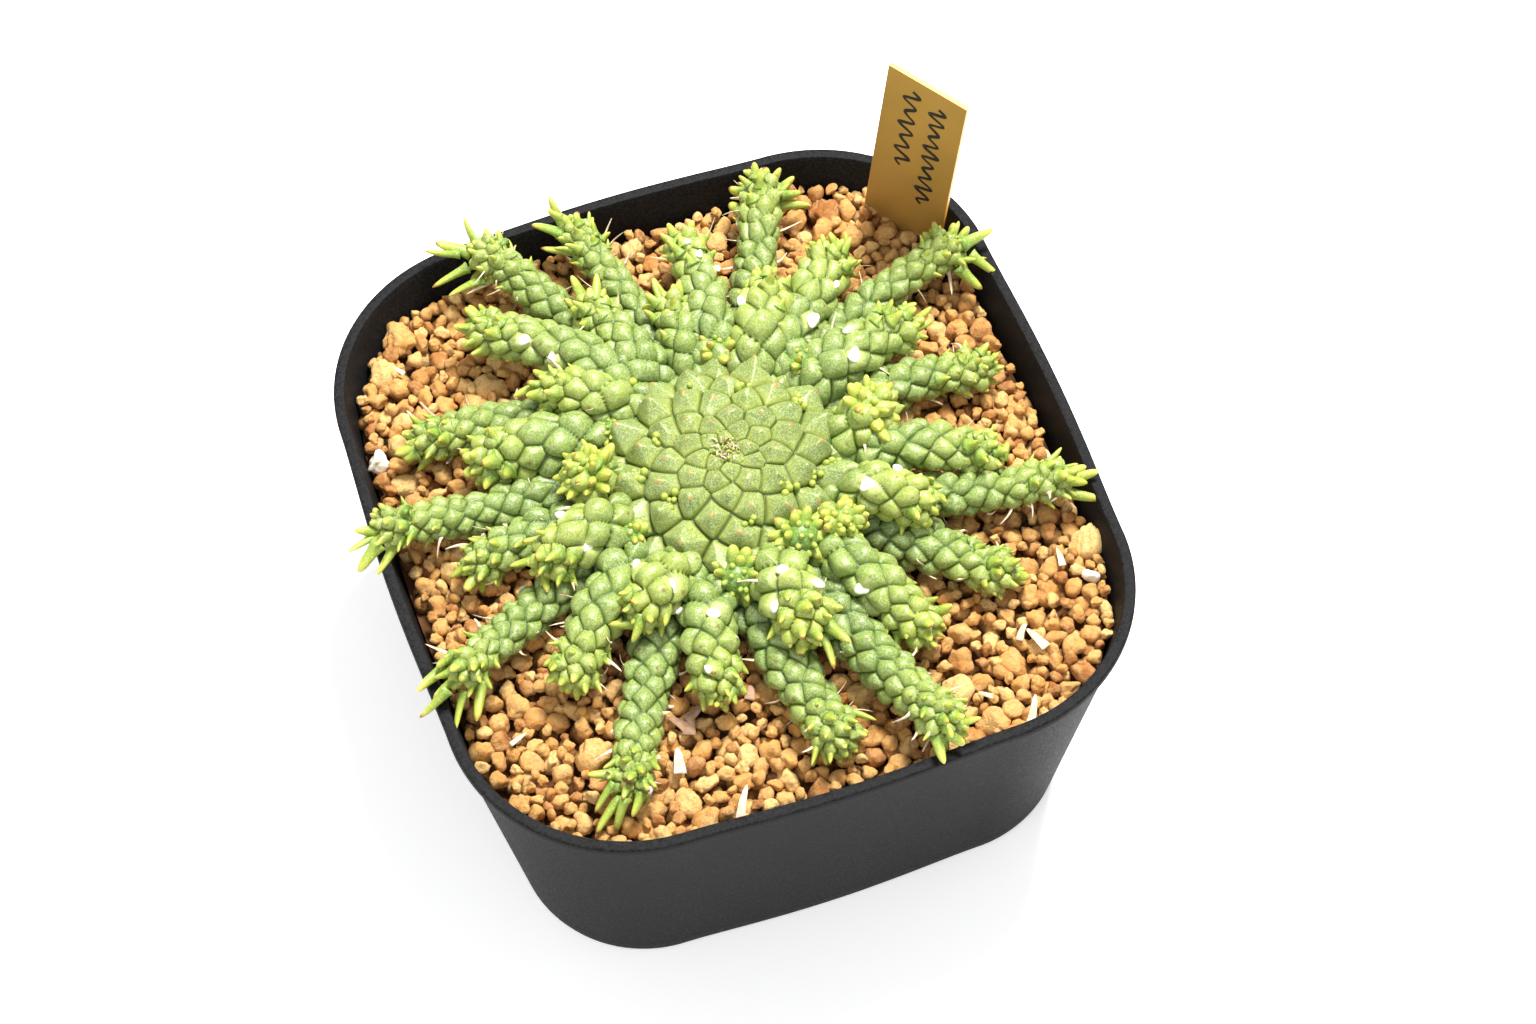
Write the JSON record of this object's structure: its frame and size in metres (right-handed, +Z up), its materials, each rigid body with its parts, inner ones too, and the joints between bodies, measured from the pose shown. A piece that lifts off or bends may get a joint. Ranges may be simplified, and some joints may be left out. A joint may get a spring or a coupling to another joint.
{
  "type": "potted euphorbia",
  "caption": "Knobbly-armed succulent euphorbia in a tapered square plastic pot with round corners, filled with grit, with a plain name tag.",
  "frame": {"origin": "centre of the pot's underside, on the surface that the pot stands on", "axes": "+Z up out of the pot; X and Y along the pot's two pairs of sides, with the name tag in the +X +Y corner"},
  "size_m": [0.1175, 0.1231, 0.089],
  "materials": {
    "pot_plastic": "matte charcoal with a fine grain",
    "grit": "dry, porous, ochre baked clay",
    "head_skin": "waxy, speckled pale green",
    "arm_skin": "waxy green, greyer towards the root",
    "leaf_skin": "satin yellow-green",
    "tag_plastic": "satin tan"
  },
  "bodies": {
    "root": {"pot": "pot_plastic", "grit": "grit", "caudex": "head_skin", "bud_1": "leaf_skin", "bud_2": "leaf_skin", "bud_3": "leaf_skin", "bud_4": "leaf_skin", "bud_5": "leaf_skin", "bud_6": "leaf_skin", "bud_7": "leaf_skin", "arm_inner_1": "arm_skin", "arm_inner_2": "arm_skin", "arm_inner_3": "arm_skin", "arm_inner_4": "arm_skin", "arm_inner_5": "arm_skin", "arm_inner_6": "arm_skin", "arm_inner_7": "arm_skin", "arm_inner_8": "arm_skin", "arm_inner_9": "arm_skin", "arm_middle_1": "arm_skin", "arm_middle_2": "arm_skin", "arm_middle_3": "arm_skin", "arm_middle_4": "arm_skin", "arm_middle_5": "arm_skin", "arm_middle_6": "arm_skin", "arm_middle_7": "arm_skin", "arm_middle_8": "arm_skin", "arm_middle_9": "arm_skin", "arm_middle_10": "arm_skin", "arm_middle_11": "arm_skin", "arm_outer_1": "arm_skin", "tuft_outer_1": "leaf_skin", "arm_outer_2": "arm_skin", "tuft_outer_2": "leaf_skin", "arm_outer_3": "arm_skin", "tuft_outer_3": "leaf_skin", "arm_outer_4": "arm_skin", "tuft_outer_4": "leaf_skin", "arm_outer_5": "arm_skin", "tuft_outer_5": "leaf_skin", "arm_outer_6": "arm_skin", "tuft_outer_6": "leaf_skin", "arm_outer_7": "arm_skin", "tuft_outer_7": "leaf_skin", "arm_outer_8": "arm_skin", "tuft_outer_8": "leaf_skin", "arm_outer_9": "arm_skin", "tuft_outer_9": "leaf_skin", "arm_outer_10": "arm_skin", "tuft_outer_10": "leaf_skin", "arm_outer_11": "arm_skin", "tuft_outer_11": "leaf_skin", "arm_outer_12": "arm_skin", "tuft_outer_12": "leaf_skin", "arm_outer_13": "arm_skin", "tuft_outer_13": "leaf_skin", "arm_outer_14": "arm_skin", "tuft_outer_14": "leaf_skin", "name_tag": "tag_plastic"}
  },
  "joints": []
}
